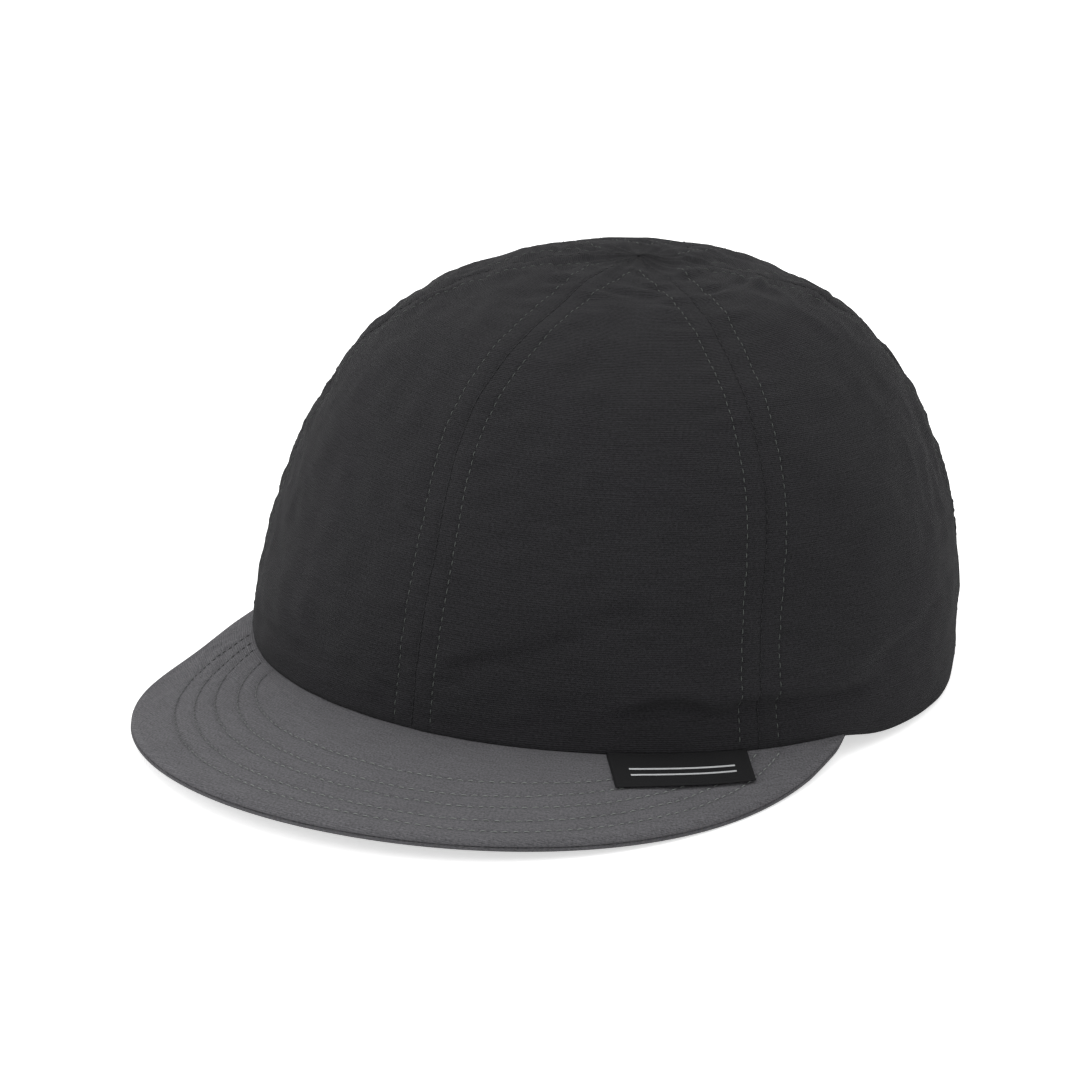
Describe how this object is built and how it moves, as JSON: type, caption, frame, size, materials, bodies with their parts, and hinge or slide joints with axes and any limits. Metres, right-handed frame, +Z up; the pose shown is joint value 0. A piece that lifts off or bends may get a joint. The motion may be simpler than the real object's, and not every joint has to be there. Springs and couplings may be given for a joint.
{
  "type": "bump cap",
  "caption": "Soft panelled fabric cap with a short stitched brim, a hidden hard shell with foam pads, and an elastic drawcord with a cord lock at the back.",
  "frame": {"origin": "the point of the table under the middle of the head opening, with the cap at rest on the back of its rim and both sides of its brim", "axes": "+Z up; the brim points along -Y; the wearer's left is +X"},
  "size_m": [0.195, 0.3064, 0.11],
  "materials": {
    "crown_fabric": "dark charcoal crinkled nylon, low sheen",
    "brim_fabric": "mid grey woven fabric, matt",
    "tape_fabric": "black woven tape, matt",
    "sweatband_fabric": "black knitted band, matt",
    "label_fabric": "black woven label with plain bars",
    "cord_fabric": "black braided elastic cord",
    "shell_plastic": "moulded shell, satin",
    "board_plastic": "flexible sheet, matt",
    "pad_foam": "closed-cell foam, matt",
    "eyelet_metal": "dark plated",
    "lock_plastic": "black moulded plastic, fine texture",
    "spring_steel": "bright wire"
  },
  "bodies": {
    "cap": {"front_left_panel": "crown_fabric", "side_left_panel": "crown_fabric", "rear_left_panel": "crown_fabric", "rear_right_panel": "crown_fabric", "side_right_panel": "crown_fabric", "front_right_panel": "crown_fabric", "front_seam_tape": "tape_fabric", "front_left_seam_tape": "tape_fabric", "rear_left_seam_tape": "tape_fabric", "rear_seam_tape": "tape_fabric", "rear_right_seam_tape": "tape_fabric", "front_right_seam_tape": "tape_fabric", "top_patch": "tape_fabric", "sweatband": "sweatband_fabric", "rear_casing": "sweatband_fabric", "shell_pocket": "tape_fabric", "bump_shell": "shell_plastic", "crown_pad": "pad_foam", "front_pad": "pad_foam", "left_pad": "pad_foam", "rear_pad": "pad_foam", "right_pad": "pad_foam", "brim_top_cover": "brim_fabric", "brim_board": "board_plastic", "brim_under_cover": "brim_fabric", "woven_label": "label_fabric", "drawcord": "cord_fabric", "left_eyelet": "eyelet_metal", "right_eyelet": "eyelet_metal"},
    "cord_lock": {"cord_lock_barrel": "lock_plastic", "cord_lock_spring": "spring_steel"},
    "lock_button": {"cord_lock_button": "lock_plastic"}
  },
  "joints": [
    {"name": "cord_lock_slide", "type": "slide", "parent": "cap", "child": "cord_lock", "axis": [0, 1, 0], "range_m": [0, 0.015]},
    {"name": "lock_button_press", "type": "slide", "parent": "cord_lock", "child": "lock_button", "axis": [-1, 0, 0], "range_m": [0, 0.003], "stiffness_N_per_m": 600, "deforming": ["cord_lock_spring"]}
  ]
}
